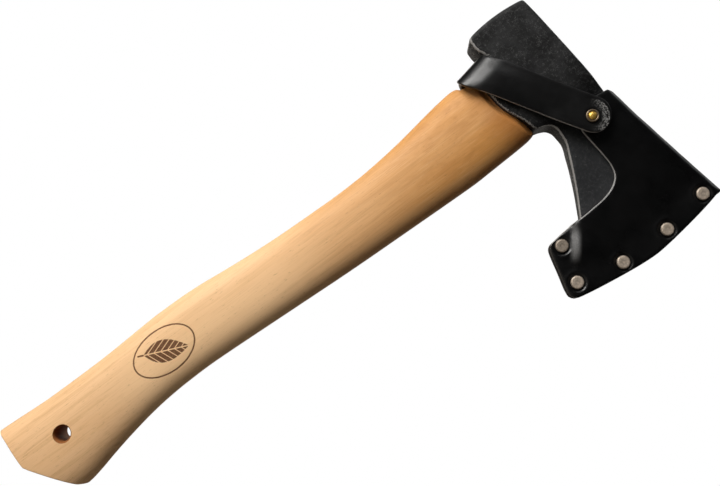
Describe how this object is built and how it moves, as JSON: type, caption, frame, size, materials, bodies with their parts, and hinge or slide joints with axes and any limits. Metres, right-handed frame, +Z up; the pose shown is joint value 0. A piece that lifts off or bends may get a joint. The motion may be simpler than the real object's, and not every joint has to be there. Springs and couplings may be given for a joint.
{
  "type": "hatchet",
  "caption": "Short forged hatchet on a curved wooden haft, its bit covered by a folded leather sheath that a snapped neck strap holds on.",
  "frame": {"origin": "middle of the bounding box in plan, at the butt of the haft", "axes": "+Z up along the haft from butt to head, +X from the poll towards the bit, -Y the face that carries the snap"},
  "size_m": [0.1536, 0.0325, 0.3825],
  "materials": {
    "haft_wood": "oiled",
    "wedge_wood": "bare",
    "ring_steel": "bare",
    "forged_steel": "black forged, satin",
    "black_leather": "smooth glossy",
    "strap_leather": "smooth, fine grain",
    "welt_leather": "cut edge",
    "antique_nickel": "antique",
    "brass": "polished"
  },
  "bodies": {
    "hatchet": {"handle": "haft_wood", "wooden_wedge": "wedge_wood", "steel_ring_wedge": "ring_steel", "axe_head": "forged_steel"},
    "sheath": {"sheath_leather": "black_leather", "sheath_welt": "welt_leather", "snap_stud": "antique_nickel", "snap_stud_rivet": "antique_nickel", "seam_rivet_1_front": "antique_nickel", "seam_rivet_1_back": "antique_nickel", "seam_rivet_2_front": "antique_nickel", "seam_rivet_2_back": "antique_nickel", "seam_rivet_3_front": "antique_nickel", "seam_rivet_3_back": "antique_nickel", "seam_rivet_4_front": "antique_nickel", "seam_rivet_4_back": "antique_nickel", "seam_rivet_5_front": "antique_nickel", "seam_rivet_5_back": "antique_nickel"},
    "strap_band": {"strap_wrap": "strap_leather"},
    "strap_flap": {"strap_tab": "strap_leather", "snap_cap_ring": "antique_nickel", "snap_dome": "brass", "snap_socket": "antique_nickel"}
  },
  "joints": [
    {"name": "sheath_off", "type": "hinge", "parent": "hatchet", "child": "sheath", "pos_m": [0.0591, 0, 0.256], "axis": [0, 1, 0], "range_deg": [0, 80], "deforming": ["strap_wrap"]},
    {"name": "wrap_open", "type": "hinge", "parent": "sheath", "child": "strap_band", "pos_m": [-0.0588, 0.0139, 0.3146], "axis": [0.3048, 0, -0.9524], "range_deg": [0, 80]},
    {"name": "strap_open", "type": "hinge", "parent": "strap_band", "child": "strap_flap", "pos_m": [-0.0588, -0.0139, 0.3146], "axis": [0.3048, 0, -0.9524], "range_deg": [0, 100], "deforming": ["strap_wrap"]}
  ],
  "couplings": [
    {"joint": "wrap_open", "follows": "strap_open", "ratio": 0.8}
  ]
}
